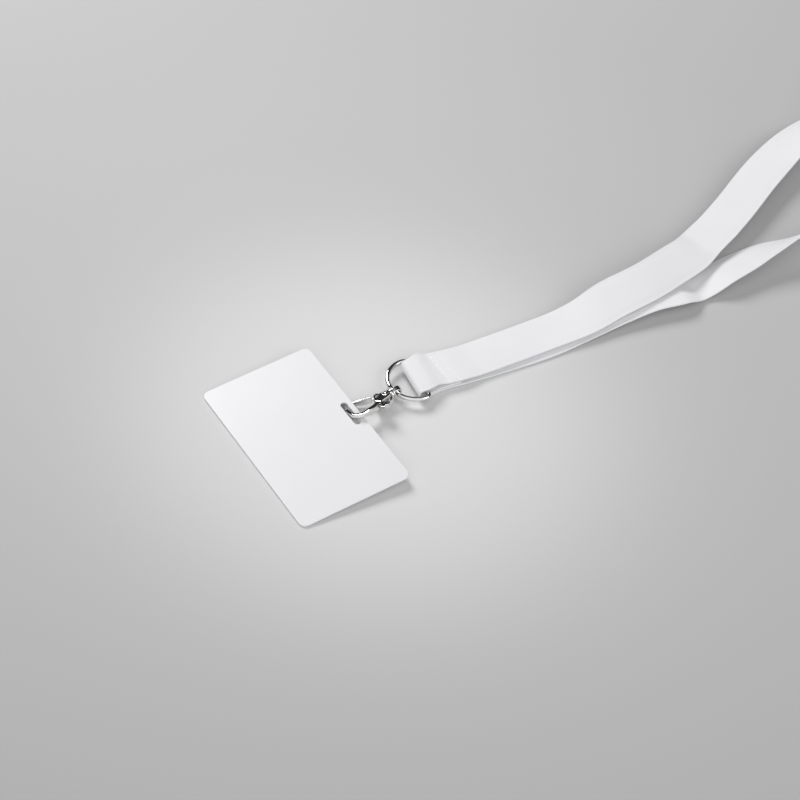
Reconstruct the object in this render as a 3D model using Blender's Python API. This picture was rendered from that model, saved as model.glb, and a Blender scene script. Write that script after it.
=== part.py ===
"""Blank badge card on a swivel lever hook and a sewn neck lanyard, lying on a table.

Metres. +X runs along the lanyard, away from the card. +Z is up, and the table is Z = 0.
The origin is on the underside of the webbing, where its lower leg lies flat on the table.
"""

import math

import bmesh
import bpy
from mathutils import Matrix, Vector

MM = 0.001
UP = Vector((0, 0, 1))
GAP = 0.3 * MM
RUNNING_FIT = 0.06 * MM
OVERRUN = 1.0 * MM
ROUND_SEGMENTS = 32
CORNER_STEPS = 3
SHARP_ANGLE = math.radians(40)
RIM_ANGLE = math.radians(60)
STEEPEST_SHARE = 3.0

# Blank card in the size of a bank card, with one slot punched near a long edge.
CARD_LENGTH = 85.6 * MM
CARD_WIDTH = 53.98 * MM
CARD_THICKNESS = 0.76 * MM
CARD_CORNER_RADIUS = 3.18 * MM
CARD_EDGE_ROUND = 0.1 * MM
CARD_CORNER_SEGMENTS = 8
SLOT_LENGTH = 14.0 * MM
SLOT_WIDTH = 3.0 * MM
SLOT_TO_EDGE = 3.9 * MM
CLAW_IN_SLOT_Y = 0.6 * MM
CARD_RISE_ON_CLAW = 0.15 * MM

# Ring: round wire bent to a D, with its straight bar inside the webbing's fold.
RING_BAR_X = -62.5 * MM
RING_CENTRE_Y = 3.9 * MM
RING_INNER_WIDTH = 21.3 * MM
RING_WIRE_RADIUS = 1.1 * MM
RING_LEG = 0.1 * MM
RING_CORNER_RADIUS = 2.0 * MM
RING_YAW = math.radians(5.0)
RING_WIRE_SIDES = 12
RING_ARC_SEGMENTS = 26
RING_CORNER_SEGMENTS = 5

# Swivel eye: a loop on a base disc, and a stem whose end is spread inside the barrel's window.
EYE_OFFSET_Y = -3.9 * MM
EYE_ROLL = math.radians(10.0)
EYE_BASE_RADIUS = 2.75 * MM
EYE_BASE_THICKNESS = 0.75 * MM
EYE_BASE_ROUND = 0.2 * MM
EYE_BASE_GAP = 0.12 * MM
EYE_WIRE_PLAY = 0.5 * MM
EYE_HOLE_LENGTH = 3.4 * MM
EYE_HOLE_HEIGHT = 4.2 * MM
EYE_WALL = 0.95 * MM
EYE_WIDTH = 2.4 * MM
EYE_EDGE_ROUND = 0.25 * MM
STEM_RADIUS = 1.0 * MM
STEM_HEAD_RADIUS = 1.4 * MM
STEM_HEAD_THICKNESS = 0.8 * MM

# Hook: u runs from the barrel's face to the claw, v to the gate side, w out of its flat face.
HOOK_YAW = math.radians(1.5)
HOOK_PITCH = math.radians(2.3)
HOOK_ROLL = math.radians(23.0)
HOOK_TABLE_GAP = 0.3 * MM
HOOK_LENGTH = 22.85 * MM
HOOK_WIDTH = 12.5 * MM
BODY_THICKNESS = 3.5 * MM
BODY_EDGE_ROUND = 0.2 * MM
COLLAR_RADIUS = 2.8 * MM
COLLAR_LENGTH = 0.9 * MM
COLLAR_EDGE_ROUND = 0.15 * MM
BARREL_RADIUS = 2.45 * MM
BARREL_LENGTH = 3.2 * MM
BARREL_TAPER = 1.4 * MM
ARM_ROOT_WIDTH = 3.0 * MM
ARM_ROOT_THICKNESS = 3.2 * MM
SPINE_WIDTH = 2.3 * MM
SPINE_THICKNESS = 3.0 * MM
CLAW_WIDTH = 1.9 * MM
CLAW_THICKNESS = 2.0 * MM
NOSE_WIDTH = 1.5 * MM
ARM_EDGE_ROUND = 0.5 * MM
ARM_STEP = 0.75 * MM
EAR_RADIUS = 1.8 * MM
EAR_EDGE_ROUND = 0.35 * MM
EAR_BOSS = 0.06 * MM
WINDOW_LENGTH = 1.5 * MM
WINDOW_HEIGHT = 3.0 * MM
WINDOW_TO_SLOT = 0.65 * MM
LEVER_SLOT_END_SHARE = 0.438
LEVER_SLOT_HEIGHT = 1.5 * MM

# Outline of the flat part of the hook's body, as shares of the hook's length and width.
BODY_OUTLINE_SHARES = (
    (0.031, -0.176),
    (0.031, 0.176),
    (0.127, 0.168),
    (0.171, 0.152),
    (0.212, 0.150),
    (0.252, 0.176),
    (0.300, 0.182),
    (0.341, 0.150),
    (0.378, 0.070),
    (0.390, 0.000),
    (0.407, -0.096),
    (0.433, -0.184),
    (0.350, -0.352),
    (0.263, -0.304),
    (0.153, -0.240),
    (0.074, -0.200),
)

# Middle line of the spine, claw and nose: shares of the reach to the claw's middle and of the
# hook's width, with the width and the thickness there.
ARM_ROUTE_SHARES = (
    (0.290, -0.120, ARM_ROOT_WIDTH, ARM_ROOT_THICKNESS),
    (0.381, -0.262, ARM_ROOT_WIDTH, ARM_ROOT_THICKNESS),
    (0.517, -0.378, SPINE_WIDTH, SPINE_THICKNESS),
    (0.676, -0.448, SPINE_WIDTH, SPINE_THICKNESS),
    (0.834, -0.450, SPINE_WIDTH, CLAW_THICKNESS),
    (0.943, -0.362, CLAW_WIDTH, CLAW_THICKNESS),
    (0.993, -0.224, CLAW_WIDTH, CLAW_THICKNESS),
    (1.000, -0.080, CLAW_WIDTH, CLAW_THICKNESS),
    (0.998, 0.096, CLAW_WIDTH, CLAW_THICKNESS),
    (0.966, 0.272, CLAW_WIDTH, CLAW_THICKNESS),
    (0.889, 0.400, CLAW_WIDTH, CLAW_THICKNESS),
    (0.780, 0.456, NOSE_WIDTH, CLAW_THICKNESS),
)

# Lever: gate blade, cross arm and thumb tab in one piece, turning on a pin in the body's ears.
PIN_SHARES = (0.2845, 0.096)
PIN_RADIUS = 0.6 * MM
PIN_HEAD_RADIUS = 1.05 * MM
PIN_HEAD_TOP_RADIUS = 0.75 * MM
PIN_HEAD_HEIGHT = 0.35 * MM
LEVER_THICKNESS = 1.1 * MM
LEVER_HUB_RADIUS = 1.45 * MM
LEVER_HUB_ARC = (math.radians(-30), math.radians(210))
LEVER_ARM_WIDTH = 1.8 * MM
LEVER_EDGE_ROUND = 0.12 * MM
GATE_WIDTH = 1.1 * MM
GATE_NECK_WIDTH = 1.3 * MM
GATE_CORNER_RADIUS = 0.35 * MM
GATE_ROOT_RISE = 1.4 * MM
GATE_ROOT_HEIGHT = 3.0 * MM
GATE_TIP_HEIGHT = 2.3 * MM
GATE_NOSE_GAP = 0.45 * MM
TAB_RADIUS = 2.7 * MM
TAB_RIM_HEIGHT = 2.4 * MM
TAB_RIM_WIDTH = 1.0 * MM
TAB_RIM_ARC = (math.radians(195), math.radians(285))
TAB_RIM_ROUND = 0.25 * MM
TAB_CENTRE_SHARES = (0.312, -0.450)
LEVER_ARM_SHARES = ((0.300, -0.100), (0.304, -0.330))
LEVER_ARC_STEPS = 12

# Small return spring, between the lever's arm and the barrel's end of the slot.
SPRING_WIRE_RADIUS = 0.12 * MM
SPRING_COIL_RADIUS = 0.48 * MM
SPRING_TURNS = 3
SPRING_POINTS_PER_TURN = 12
SPRING_WIRE_SIDES = 6
SPRING_V = -1.2 * MM
SPRING_END_GAP = 0.1 * MM
SPRING_ARM_GAP = 0.3 * MM

# Webbing: one strip. One end folds round the ring's bar and is sewn on the other end.
WEBBING_WIDTH = 20.0 * MM
WEBBING_THICKNESS = 1.0 * MM
WEBBING_EDGE_ROUND = 0.2 * MM
PLY_GAP = 0.25 * MM
SEAM_LIFT = 0.25 * MM
SEAM_LENGTH = 17.0 * MM
LOOP_REACH = 355.0 * MM
STRIP_STEP = 4.5 * MM
FOLD_SEGMENTS = 10
FOLD_SKEW = math.radians(8.0)
FOLD_BACK = 1.8 * MM
SKEW_END_SHARE = 0.7

# Upper ply from the bar to the end of the seam: share of the seam's length beyond the bar,
# share of the webbing's width to the far side, share of the rise over the bar, and tilt.
UPPER_SEAM_SHARES = (
    (0.02, 0.225, 1.00, 0),
    (0.20, 0.255, 0.95, 1),
    (0.36, 0.285, 0.68, 2),
    (0.53, 0.280, 0.25, 1),
    (0.68, 0.255, 0.00, 0),
    (1.06, 0.195, 0.00, 0),
)
LOWER_SEAM_SHARES = (
    (0.06, 0.225),
    (0.42, 0.235),
    (0.78, 0.210),
    (1.12, 0.165),
)
RETURN_SEAM_SHARES = (
    (0.02, 0.225),
    (0.42, 0.235),
    (1.00, 0.195),
)

# The two legs of the neck loop, from the seam to the far turn: share of the loop's reach along X
# and across, plies underneath, share of the webbing's width it is lifted, and tilt in degrees.
UPPER_LEG_SHARES = (
    (-0.088, 0.0087, 1, 0.020, 0),
    (-0.062, 0.0073, 1, 0.020, 0),
    (0.021, 0.0033, 1, 0.035, 0),
    (0.068, -0.0002, 1, 0.090, 6),
    (0.113, 0.0009, 1, 0.170, 18),
    (0.171, 0.0032, 1, 0.245, 17),
    (0.227, 0.0135, 1, 0.225, 16),
    (0.266, 0.0230, 1, 0.205, 12),
    (0.292, 0.0350, 1, 0.205, 3),
    (0.333, 0.0504, 1, 0.235, 0),
    (0.369, 0.0656, 1, 0.260, 0),
    (0.452, 0.1045, 1, 0.310, 0),
    (0.521, 0.1324, 1, 0.245, -10),
    (0.606, 0.1606, 0, 0.110, -40),
    (0.690, 0.1775, 0, 0.010, -75),
    (0.775, 0.1803, 0, 0, -90),
)
FAR_TURN_SHARES = (
    (0.845, 0.1690, 0, 0, -90),
    (0.915, 0.1350, 0, 0, -90),
    (0.975, 0.0780, 0, 0, -90),
    (1.000, 0.0050, 0, 0, -90),
    (0.978, -0.0700, 0, 0, -90),
    (0.915, -0.1240, 0, 0, -90),
    (0.830, -0.1450, 0, 0, -90),
)
LOWER_LEG_SHARES = (
    (-0.077, 0.0039, 0, 0, 0),
    (0.006, -0.0036, 0, 0.005, 0),
    (0.068, -0.0041, 0, 0.060, 0),
    (0.122, -0.0054, 0, 0.150, 0),
    (0.177, -0.0104, 0, 0.200, -2),
    (0.212, -0.0172, 0, 0.165, -4),
    (0.243, -0.0148, 0, 0.010, -2),
    (0.287, -0.0172, 0, 0.008, -17),
    (0.327, -0.0146, 0, 0.005, -22),
    (0.366, -0.0135, 0, 0, -32),
    (0.423, -0.0197, 0, 0, -55),
    (0.493, -0.0394, 0, 0, -80),
    (0.563, -0.0640, 0, 0, -90),
    (0.634, -0.0980, 0, 0, -90),
    (0.725, -0.1310, 0, 0, -90),
)

# Sewing thread: a box of stitches through the seam, seen on the top and on the underside.
THREAD_RADIUS = 0.16 * MM
BOBBIN_THREAD_RADIUS = 0.07 * MM
THREAD_GAP = 0.05 * MM
STITCH_PITCH = 2.4 * MM
STITCH_SIZE_SHARES = ((0.0, 0.45), (0.2, 1.0), (0.8, 1.0))
STITCH_SIDES = 6
STITCH_ROW_SHARES = (0.72, 0.94)
SEAM_SIDE_MARGIN = 1.2 * MM

RING_RADIUS = RING_INNER_WIDTH / 2 + RING_WIRE_RADIUS
ARC_CENTRE = RING_CORNER_RADIUS + RING_LEG
HALF_WEBBING = WEBBING_WIDTH / 2
FOLD_RADIUS = RING_WIRE_RADIUS + PLY_GAP + WEBBING_THICKNESS / 2
ARM_REACH = HOOK_LENGTH - CLAW_WIDTH / 2
NOSE_U = ARM_ROUTE_SHARES[-1][0] * ARM_REACH
NOSE_V = ARM_ROUTE_SHARES[-1][1] * HOOK_WIDTH
PIN_U = PIN_SHARES[0] * HOOK_LENGTH
PIN_V = PIN_SHARES[1] * HOOK_WIDTH
WINDOW_START = COLLAR_LENGTH + COLLAR_EDGE_ROUND
LEVER_SLOT_START = WINDOW_START + WINDOW_LENGTH + WINDOW_TO_SLOT
LEVER_SLOT_END = LEVER_SLOT_END_SHARE * HOOK_LENGTH
FACE_TO_WIRE = EYE_BASE_GAP + EYE_BASE_THICKNESS + EYE_WIRE_PLAY + RING_WIRE_RADIUS


def seam_level(plies_under):
    """Height of the middle of a ply in the seam, with this many plies under it."""
    return SEAM_LIFT + WEBBING_THICKNESS / 2 + plies_under * (WEBBING_THICKNESS + PLY_GAP)


RING_BAR_Z = seam_level(1) + FOLD_RADIUS
BAR_TOP_LEVEL = RING_BAR_Z + FOLD_RADIUS


def axes_matrix(origin, x_axis, y_axis):
    """Frame with this origin, its X along x_axis and its Y near y_axis."""
    x_axis = x_axis.normalized()
    z_axis = x_axis.cross(y_axis).normalized()
    y_axis = z_axis.cross(x_axis)
    matrix = Matrix((x_axis, y_axis, z_axis)).transposed().to_4x4()
    matrix.translation = origin
    return matrix


def rolled(matrix, angle):
    return matrix @ Matrix.Rotation(angle, 4, "X")


def ring_frame():
    """Origin in the middle of the bar, X from the bar to the arc's top, Y along the bar."""
    to_arc = Vector((-math.cos(RING_YAW), math.sin(RING_YAW), 0))
    along_bar = Vector((math.sin(RING_YAW), math.cos(RING_YAW), 0))
    origin = Vector((RING_BAR_X, RING_CENTRE_Y, RING_BAR_Z))
    return axes_matrix(origin, to_arc, -along_bar)


RING = ring_frame()


def wire_middle_at_eye():
    """Point on the middle line of the ring's arc where the eye hangs, in world space."""
    across = -EYE_OFFSET_Y
    along = ARC_CENTRE + math.sqrt(RING_RADIUS**2 - across**2)
    return RING @ Vector((along, across, 0))


def hook_frame():
    """Origin in the middle of the barrel's face, X to the claw, Y to the gate side."""
    to_claw = Vector(
        (
            -math.cos(HOOK_YAW) * math.cos(HOOK_PITCH),
            -math.sin(HOOK_YAW) * math.cos(HOOK_PITCH),
            -math.sin(HOOK_PITCH),
        )
    )
    origin = wire_middle_at_eye() + to_claw * FACE_TO_WIRE
    gate_side = (NOSE_V + GATE_WIDTH / 2) * math.sin(HOOK_ROLL)
    gate_face = GATE_TIP_HEIGHT / 2 * math.cos(HOOK_ROLL)
    origin.z = gate_side + gate_face + NOSE_U * math.sin(HOOK_PITCH) + HOOK_TABLE_GAP
    level = axes_matrix(origin, to_claw, to_claw.cross(UP))
    return rolled(level, HOOK_ROLL)


HOOK = hook_frame()


def card_frame():
    """Origin in the middle of the slot on the underside, X to the hooked edge."""
    claw_middle = HOOK @ Vector((ARM_REACH, 0, 0))
    inset = CARD_WIDTH - SLOT_TO_EDGE
    rise = claw_middle.z + CARD_RISE_ON_CLAW - CARD_THICKNESS / 2
    tilt = math.asin(rise / inset)
    claw_to_slot_side = (SLOT_WIDTH - CLAW_WIDTH) / 2 - GAP
    to_edge = Vector((math.cos(tilt), 0, math.sin(tilt)))
    origin = Vector((claw_middle.x + claw_to_slot_side, claw_middle.y - CLAW_IN_SLOT_Y, rise))
    return axes_matrix(origin, to_edge, Vector((0, 1, 0)))


CARD = card_frame()


def clear_scene():
    for thing in list(bpy.data.objects):
        bpy.data.objects.remove(thing, do_unlink=True)


def new_material(name, colour, metallic, roughness):
    material = bpy.data.materials.new(name)
    material.use_nodes = True
    shader = material.node_tree.nodes["Principled BSDF"]
    shader.inputs["Base Color"].default_value = (*colour, 1)
    shader.inputs["Metallic"].default_value = metallic
    shader.inputs["Roughness"].default_value = roughness
    return material


def new_object(name, mesh_maker, material, matrix, parent=None):
    """One object from a bmesh, placed by a matrix and hung on its parent."""
    mesh = bpy.data.meshes.new(name)
    bmesh.ops.recalc_face_normals(mesh_maker, faces=mesh_maker.faces)
    mesh_maker.to_mesh(mesh)
    mesh_maker.free()
    mesh.shade_smooth()
    mesh.set_sharp_from_angle(angle=SHARP_ANGLE)
    if material:
        mesh.materials.append(material)
    thing = bpy.data.objects.new(name, mesh)
    bpy.context.scene.collection.objects.link(thing)
    if parent:
        thing.parent = parent
        thing.matrix_parent_inverse = parent.matrix_world.inverted()
    thing.matrix_world = matrix
    bpy.context.view_layer.update()
    return thing


def helper(name, mesh_maker, owner):
    """A hidden shape that a Boolean of its owner uses, in the owner's own frame."""
    thing = new_object(name, mesh_maker, None, owner.matrix_world, owner)
    thing.hide_render = True
    thing.display_type = "WIRE"
    return thing


def combine(owner, other, operation):
    boolean = owner.modifiers.new(other.name, "BOOLEAN")
    boolean.operation = operation
    boolean.solver = "EXACT"
    boolean.object = other


def eased(before, after, slope):
    """The slope made gentle enough that the curve can't swing past its neighbours."""
    if before * after <= 0:
        return 0
    most = STEEPEST_SHARE * min(abs(before), abs(after))
    return max(-most, min(most, slope))


def smooth_through(points, step):
    """Points read from a smooth curve through tuples whose first three values are a place."""
    knots = [Vector(point[:3]) for point in points]
    spans = [(b - a).length for a, b in zip(knots, knots[1:])]
    slopes = []
    for i, point in enumerate(points):
        back = max(i - 1, 0)
        ahead = min(i + 1, len(points) - 1)
        width = sum(spans[back:ahead])
        if 0 < i < len(points) - 1:
            before = [(b - a) / spans[i - 1] for a, b in zip(points[i - 1], point)]
            after = [(b - a) / spans[i] for a, b in zip(point, points[i + 1])]
            slope = [
                (x * spans[i] + y * spans[i - 1]) / width for x, y in zip(before, after)
            ]
            slope[2:] = [eased(*rates) for rates in zip(before[2:], after[2:], slope[2:])]
        else:
            slope = [(b - a) / width for a, b in zip(points[back], points[ahead])]
        slopes.append(slope)
    found = []
    for i, span in enumerate(spans):
        count = max(1, round(span / step))
        for k in range(count):
            t = k / count
            from_start = 2 * t**3 - 3 * t**2 + 1
            from_end = 1 - from_start
            lead = (t**3 - 2 * t**2 + t) * span
            lag = (t**3 - t**2) * span
            found.append(
                tuple(
                    from_start * a + from_end * b + lead * c + lag * d
                    for a, b, c, d in zip(points[i], points[i + 1], slopes[i], slopes[i + 1])
                )
            )
    found.append(tuple(points[-1]))
    return found


def loft(sections, closed=False):
    """Skin over rings of points; closed joins the last ring to the first, or the ends get caps."""
    maker = bmesh.new()
    rings = [[maker.verts.new(point) for point in section] for section in sections]
    pairs = list(zip(rings, rings[1:]))
    if closed:
        pairs.append((rings[-1], rings[0]))
    for one, two in pairs:
        for i in range(len(one)):
            j = (i + 1) % len(one)
            maker.faces.new((one[i], one[j], two[j], two[i]))
    if not closed:
        maker.faces.new(rings[0][::-1])
        maker.faces.new(rings[-1])
    return maker


def rounded_rectangle(half_x, half_y, radius, steps):
    """Corner arcs of a rectangle, as 2D points in turn."""
    radius = min(radius, half_x, half_y)
    points = []
    for quarter, (x, y) in enumerate(((1, 1), (-1, 1), (-1, -1), (1, -1))):
        middle_x = x * (half_x - radius)
        middle_y = y * (half_y - radius)
        for k in range(steps + 1):
            angle = math.pi / 2 * (quarter + k / steps)
            point = Vector((middle_x, middle_y)) + radius * Vector((math.cos(angle), math.sin(angle)))
            if all((point - other).length > radius / 100 for other in points):
                points.append(point)
    return [tuple(point) for point in points]


def turned(profile, segments=ROUND_SEGMENTS):
    """Solid turned about X from (x, radius) pairs."""
    sections = []
    for x, radius in profile:
        section = []
        for k in range(segments):
            angle = 2 * math.pi * k / segments
            section.append(Vector((x, radius * math.cos(angle), radius * math.sin(angle))))
        sections.append(section)
    return loft(sections)


def plate(outline, height, edge_round=0.0, hole=None, segments=2):
    """Flat piece with this outline in X and Y, centred on Z, with its rims rounded."""
    maker = bmesh.new()
    edges = []
    for loop in (outline, hole):
        if not loop:
            continue
        corners = [maker.verts.new((x, y, -height / 2)) for x, y in loop]
        for a, b in zip(corners, corners[1:] + corners[:1]):
            edges.append(maker.edges.new((a, b)))
    bmesh.ops.triangle_fill(maker, use_beauty=True, edges=edges)
    bottom = list(maker.faces)
    grown = bmesh.ops.extrude_face_region(maker, geom=bottom)["geom"]
    top = [item for item in grown if isinstance(item, bmesh.types.BMVert)]
    bmesh.ops.translate(maker, verts=top, vec=(0, 0, height))
    bmesh.ops.recalc_face_normals(maker, faces=maker.faces)
    if edge_round:
        rims = [
            edge
            for edge in maker.edges
            if len(edge.link_faces) == 2
            and edge.calc_face_angle() > RIM_ANGLE
            and abs(edge.verts[0].co.z - edge.verts[1].co.z) < height / 2
        ]
        bmesh.ops.bevel(
            maker, geom=rims, offset=edge_round, segments=segments, profile=0.5, affect="EDGES"
        )
    return maker


def box(low, high):
    maker = bmesh.new()
    bmesh.ops.create_cube(maker, size=1)
    middle = (low + high) / 2
    size = high - low
    for vertex in maker.verts:
        vertex.co = Vector((middle[i] + vertex.co[i] * size[i] for i in range(3)))
    return maker


def disc_outline(centre, radius, segments=ROUND_SEGMENTS):
    points = []
    for k in range(segments):
        angle = 2 * math.pi * k / segments
        points.append((centre[0] + radius * math.cos(angle), centre[1] + radius * math.sin(angle)))
    return points


def on_hook(shares):
    return (shares[0] * HOOK_LENGTH, shares[1] * HOOK_WIDTH)


def swept_wire(route, radii, sides, closed):
    """Round wire along a route of points, each with its radius."""
    sections = []
    count = len(route)
    side = UP
    for i, point in enumerate(route):
        if closed:
            ahead = route[(i + 1) % count] - route[i - 1]
        else:
            ahead = route[min(i + 1, count - 1)] - route[max(i - 1, 0)]
        ahead = ahead.normalized()
        side = (side - ahead * side.dot(ahead)).normalized()
        other = ahead.cross(side)
        section = []
        for k in range(sides):
            angle = 2 * math.pi * k / sides
            section.append(point + radii[i] * (math.cos(angle) * side + math.sin(angle) * other))
        sections.append(section)
    return loft(sections, closed)


def make_ring(material):
    """D ring: the bar along Y at X = 0, two short legs, and a half circle to +X."""
    corner = RING_CORNER_RADIUS
    half_bar = RING_RADIUS - corner
    route = [Vector((0, half_bar, 0)), Vector((0, 0, 0)), Vector((0, -half_bar, 0))]
    for k in range(1, RING_CORNER_SEGMENTS + 1):
        angle = math.pi / 2 * k / RING_CORNER_SEGMENTS
        route.append(
            Vector((corner * (1 - math.cos(angle)), -half_bar - corner * math.sin(angle), 0))
        )
    for k in range(RING_ARC_SEGMENTS + 1):
        angle = math.pi * k / RING_ARC_SEGMENTS
        route.append(
            Vector(
                (
                    ARC_CENTRE + RING_RADIUS * math.sin(angle),
                    -RING_RADIUS * math.cos(angle),
                    0,
                )
            )
        )
    for k in range(RING_CORNER_SEGMENTS, 0, -1):
        angle = math.pi / 2 * k / RING_CORNER_SEGMENTS
        route.append(
            Vector((corner * (1 - math.cos(angle)), half_bar + corner * math.sin(angle), 0))
        )
    maker = swept_wire(route, [RING_WIRE_RADIUS] * len(route), RING_WIRE_SIDES, closed=True)
    return new_object("d_ring", maker, material, RING)


def make_eye(material, parent):
    """Turned base, stem and spread end, joined with an arched loop that is open along Z."""
    on_barrel_axis = HOOK @ Vector((-FACE_TO_WIRE, 0, 0))
    centred = rolled(axes_matrix(on_barrel_axis, -HOOK.col[0].xyz, UP), EYE_ROLL)
    matrix = centred.copy()
    matrix.translation = wire_middle_at_eye()
    from_wire = matrix.inverted() @ centred
    face = -FACE_TO_WIRE
    head_front = face - WINDOW_START - RUNNING_FIT
    base_back = face + EYE_BASE_GAP
    base_front = base_back + EYE_BASE_THICKNESS
    edge = EYE_BASE_ROUND
    profile = (
        (head_front - STEM_HEAD_THICKNESS, STEM_RADIUS),
        (head_front - STEM_HEAD_THICKNESS / 2, STEM_HEAD_RADIUS),
        (head_front, STEM_HEAD_RADIUS),
        (head_front + RUNNING_FIT / 2, STEM_RADIUS),
        (base_back, STEM_RADIUS),
        (base_back, EYE_BASE_RADIUS - edge),
        (base_back + edge, EYE_BASE_RADIUS),
        (base_front - edge, EYE_BASE_RADIUS),
        (base_front, EYE_BASE_RADIUS - edge),
    )
    base = turned(profile)
    base.transform(from_wire)
    eye = new_object("swivel_eye", base, material, matrix, parent)

    hole_half = EYE_HOLE_HEIGHT / 2
    outer_half = hole_half + EYE_WALL
    leg_end = base_back + EYE_BASE_THICKNESS / 2
    arch_middle = base_front + EYE_HOLE_LENGTH - hole_half
    outer = [(leg_end, -EYE_BASE_RADIUS + edge), (base_front + EYE_WALL / 2, -outer_half)]
    inner = [(leg_end, -hole_half)]
    steps = ROUND_SEGMENTS // 2
    for k in range(steps + 1):
        angle = math.pi * (k / steps - 1 / 2)
        across = math.sin(angle)
        along = math.cos(angle)
        outer.append((arch_middle + outer_half * along, outer_half * across))
        inner.append((arch_middle + hole_half * along, hole_half * across))
    outer += [(base_front + EYE_WALL / 2, outer_half), (leg_end, EYE_BASE_RADIUS - edge)]
    inner.append((leg_end, hole_half))
    loop = plate(outer + inner[::-1], EYE_WIDTH, EYE_EDGE_ROUND)
    loop.transform(from_wire)
    combine(eye, helper("eye_loop", loop, eye), "UNION")
    return eye


def across_swing(place):
    """Unit vector along the gate's swing at this place in the hook's frame, towards the outside."""
    from_pin = (place - Vector((PIN_U, PIN_V, 0))).normalized()
    return Vector((-from_pin.y, from_pin.x, 0))


def make_arm():
    """Spine, claw and nose along their middle line. The nose's end follows the gate's swing."""
    table = [
        (u_share * ARM_REACH, v_share * HOOK_WIDTH, 0, width, thickness)
        for u_share, v_share, width, thickness in ARM_ROUTE_SHARES
    ]
    route = smooth_through(table, ARM_STEP)
    sections = []
    for i, (u, v, _, width, thickness) in enumerate(route):
        back = route[max(i - 1, 0)]
        ahead = route[min(i + 1, len(route) - 1)]
        run = Vector((ahead[0] - back[0], ahead[1] - back[1], 0)).normalized()
        side = Vector((-run.y, run.x, 0))
        middle = Vector((u, v, 0))
        if i == len(route) - 1:
            side = -across_swing(middle)
        corners = rounded_rectangle(width / 2, thickness / 2, ARM_EDGE_ROUND, CORNER_STEPS)
        sections.append([middle + side * a + Vector((0, 0, b)) for a, b in corners])
    return loft(sections)


def make_hook_body(material, parent):
    """Barrel, flat body with ears, spine, claw and nose in one casting."""
    edge = COLLAR_EDGE_ROUND
    barrel = (
        (0, COLLAR_RADIUS - edge),
        (edge, COLLAR_RADIUS),
        (COLLAR_LENGTH - edge, COLLAR_RADIUS),
        (COLLAR_LENGTH, BARREL_RADIUS),
        (BARREL_LENGTH, BARREL_RADIUS),
        (BARREL_LENGTH + BARREL_TAPER, BARREL_RADIUS - BARREL_TAPER / 2),
    )
    body = new_object("hook_body", turned(barrel), material, HOOK, parent)

    block = plate([on_hook(s) for s in BODY_OUTLINE_SHARES], BODY_THICKNESS, BODY_EDGE_ROUND)
    combine(body, helper("hook_block", block, body), "UNION")
    combine(body, helper("hook_arm", make_arm(), body), "UNION")
    ear = plate(
        disc_outline((PIN_U, PIN_V), EAR_RADIUS), BODY_THICKNESS + 2 * EAR_BOSS, EAR_EDGE_ROUND
    )
    combine(body, helper("hook_ear", ear, body), "UNION")

    half_slot = LEVER_SLOT_HEIGHT / 2
    slot = box(
        Vector((LEVER_SLOT_START, -HOOK_WIDTH, -half_slot)),
        Vector((LEVER_SLOT_END, HOOK_WIDTH, half_slot)),
    )
    combine(body, helper("lever_slot", slot, body), "DIFFERENCE")
    window = box(
        Vector((WINDOW_START, -COLLAR_RADIUS - OVERRUN, -WINDOW_HEIGHT / 2)),
        Vector((WINDOW_START + WINDOW_LENGTH, COLLAR_RADIUS + OVERRUN, WINDOW_HEIGHT / 2)),
    )
    combine(body, helper("barrel_window", window, body), "DIFFERENCE")
    bore_radius = STEM_RADIUS + RUNNING_FIT
    bore_end = WINDOW_START + WINDOW_LENGTH / 2
    bore = turned(((-OVERRUN, bore_radius), (bore_end, bore_radius)))
    combine(body, helper("stem_bore", bore, body), "DIFFERENCE")
    pin_hole = disc_outline((PIN_U, PIN_V), PIN_RADIUS + RUNNING_FIT)
    pin_bore = plate(pin_hole, BODY_THICKNESS + 2 * OVERRUN)
    combine(body, helper("pin_bore", pin_bore, body), "DIFFERENCE")
    return body


def hub_frame(parent):
    return parent.matrix_world @ Matrix.Translation((PIN_U, PIN_V, 0))


def lever_outline():
    """Hub, cross arm and thumb tab, seen along the pin, with the pin at zero."""
    pin = Vector((PIN_U, PIN_V))
    middle = Vector(on_hook(LEVER_ARM_SHARES[0])) - pin
    end = Vector(on_hook(LEVER_ARM_SHARES[1])) - pin
    tab = Vector(on_hook(TAB_CENTRE_SHARES)) - pin
    half = Vector((LEVER_ARM_WIDTH / 2, 0))
    points = []
    first, last = LEVER_HUB_ARC
    for k in range(LEVER_ARC_STEPS + 1):
        angle = first + (last - first) * k / LEVER_ARC_STEPS
        points.append((LEVER_HUB_RADIUS * math.cos(angle), LEVER_HUB_RADIUS * math.sin(angle)))
    points.append(tuple(middle - half))
    points.append(tuple(end - half))
    for k in range(LEVER_ARC_STEPS + 1):
        angle = math.pi * (1 + k / LEVER_ARC_STEPS)
        points.append((tab.x + TAB_RADIUS * math.cos(angle), tab.y + TAB_RADIUS * math.sin(angle)))
    points.append(tuple(end + half))
    points.append(tuple(middle + half))
    return points


def tab_rim():
    """Raised thumb rest along the outer edge of the tab."""
    tab = Vector(on_hook(TAB_CENTRE_SHARES)) - Vector((PIN_U, PIN_V))
    first, last = TAB_RIM_ARC
    points = []
    for radius, order in ((TAB_RADIUS, 1), (TAB_RADIUS - TAB_RIM_WIDTH, -1)):
        arc = []
        for k in range(LEVER_ARC_STEPS + 1):
            angle = first + (last - first) * k / LEVER_ARC_STEPS
            arc.append((tab.x + radius * math.cos(angle), tab.y + radius * math.sin(angle)))
        points += arc[::order]
    return plate(points, TAB_RIM_HEIGHT, TAB_RIM_ROUND)


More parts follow.
